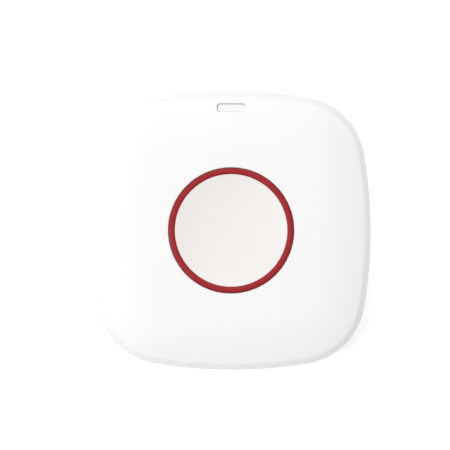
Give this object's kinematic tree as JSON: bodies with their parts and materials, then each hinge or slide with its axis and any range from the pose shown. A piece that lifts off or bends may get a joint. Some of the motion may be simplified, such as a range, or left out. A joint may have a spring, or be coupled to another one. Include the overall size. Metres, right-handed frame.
{
  "type": "wireless panic button",
  "caption": "Cushion-shaped white two-shell case with a red-ringed dished thumb button in its middle, a small slot-shaped light window and a round battery door in its back.",
  "frame": {"origin": "middle of the flat back face, which is the underside of the whole part's box", "axes": "+Z points out of the front face, +Y to the light window and +X to its right as seen from the front"},
  "size_m": [0.064, 0.064, 0.0166],
  "materials": {
    "shell_white": "white injection-moulded shell with a fine satin surface",
    "cap_white": "white moulded cap with a smooth satin dish",
    "ring_red": "deep red moulded ring with a soft gloss",
    "carrier_plastic": "slippery off-white moulded carrier",
    "frame_plastic": "dark grey moulded frame",
    "spring_steel": "drawn spring wire",
    "board_green": "glass-epoxy board under green solder mask",
    "switch_black": "black moulded switch base",
    "plunger_white": "natural moulded plunger",
    "plated_steel": "nickel-plated pressed steel",
    "cell_steel": "drawn stainless can of a coin cell",
    "window_milky": "milky light-guiding plastic",
    "led_yellow": "small light in a clear yellowish lens",
    "ceramic_tan": "tan ceramic chips with tinned ends",
    "tinned_wire": "tinned copper wire",
    "screw_zinc": "zinc-plated steel screws",
    "seal_silicone": "grey silicone seal"
  },
  "bodies": {
    "case": {"front_cover": "shell_white", "rear_cover": "shell_white", "door_seal": "seal_silicone", "return_spring": "spring_steel", "spring_frame": "frame_plastic", "circuit_board": "board_green", "switch_body": "switch_black", "switch_plate": "plated_steel", "coin_cell": "cell_steel", "battery_holder": "frame_plastic", "positive_contact": "plated_steel", "negative_contact": "plated_steel", "light_pipe": "window_milky", "status_led": "led_yellow", "control_chip": "switch_black", "crystal": "plated_steel", "capacitors": "ceramic_tan", "radio_shield": "plated_steel", "antenna": "tinned_wire", "case_screws": "screw_zinc", "board_screws": "screw_zinc"},
    "button": {"button_cap": "cap_white", "button_ring": "ring_red", "button_carrier": "carrier_plastic"},
    "plunger": {"switch_plunger": "plunger_white"},
    "door": {"battery_door": "shell_white"}
  },
  "joints": [
    {"name": "button_press", "type": "slide", "parent": "case", "child": "button", "axis": [0, 0, -1], "range_m": [0, 0.0005], "stiffness_N_per_m": 3000, "springref_m": -0.0005, "deforming": ["return_spring"]},
    {"name": "switch_plunger_press", "type": "slide", "parent": "case", "child": "plunger", "axis": [0, 0, -1], "range_m": [0, 0.0005]},
    {"name": "battery_door_turn", "type": "hinge", "parent": "case", "child": "door", "pos_m": [0, 0, 0], "axis": [0, 0, -1], "range_deg": [0, 45]}
  ],
  "couplings": [
    {"joint": "switch_plunger_press", "follows": "button_press", "ratio": 1}
  ]
}
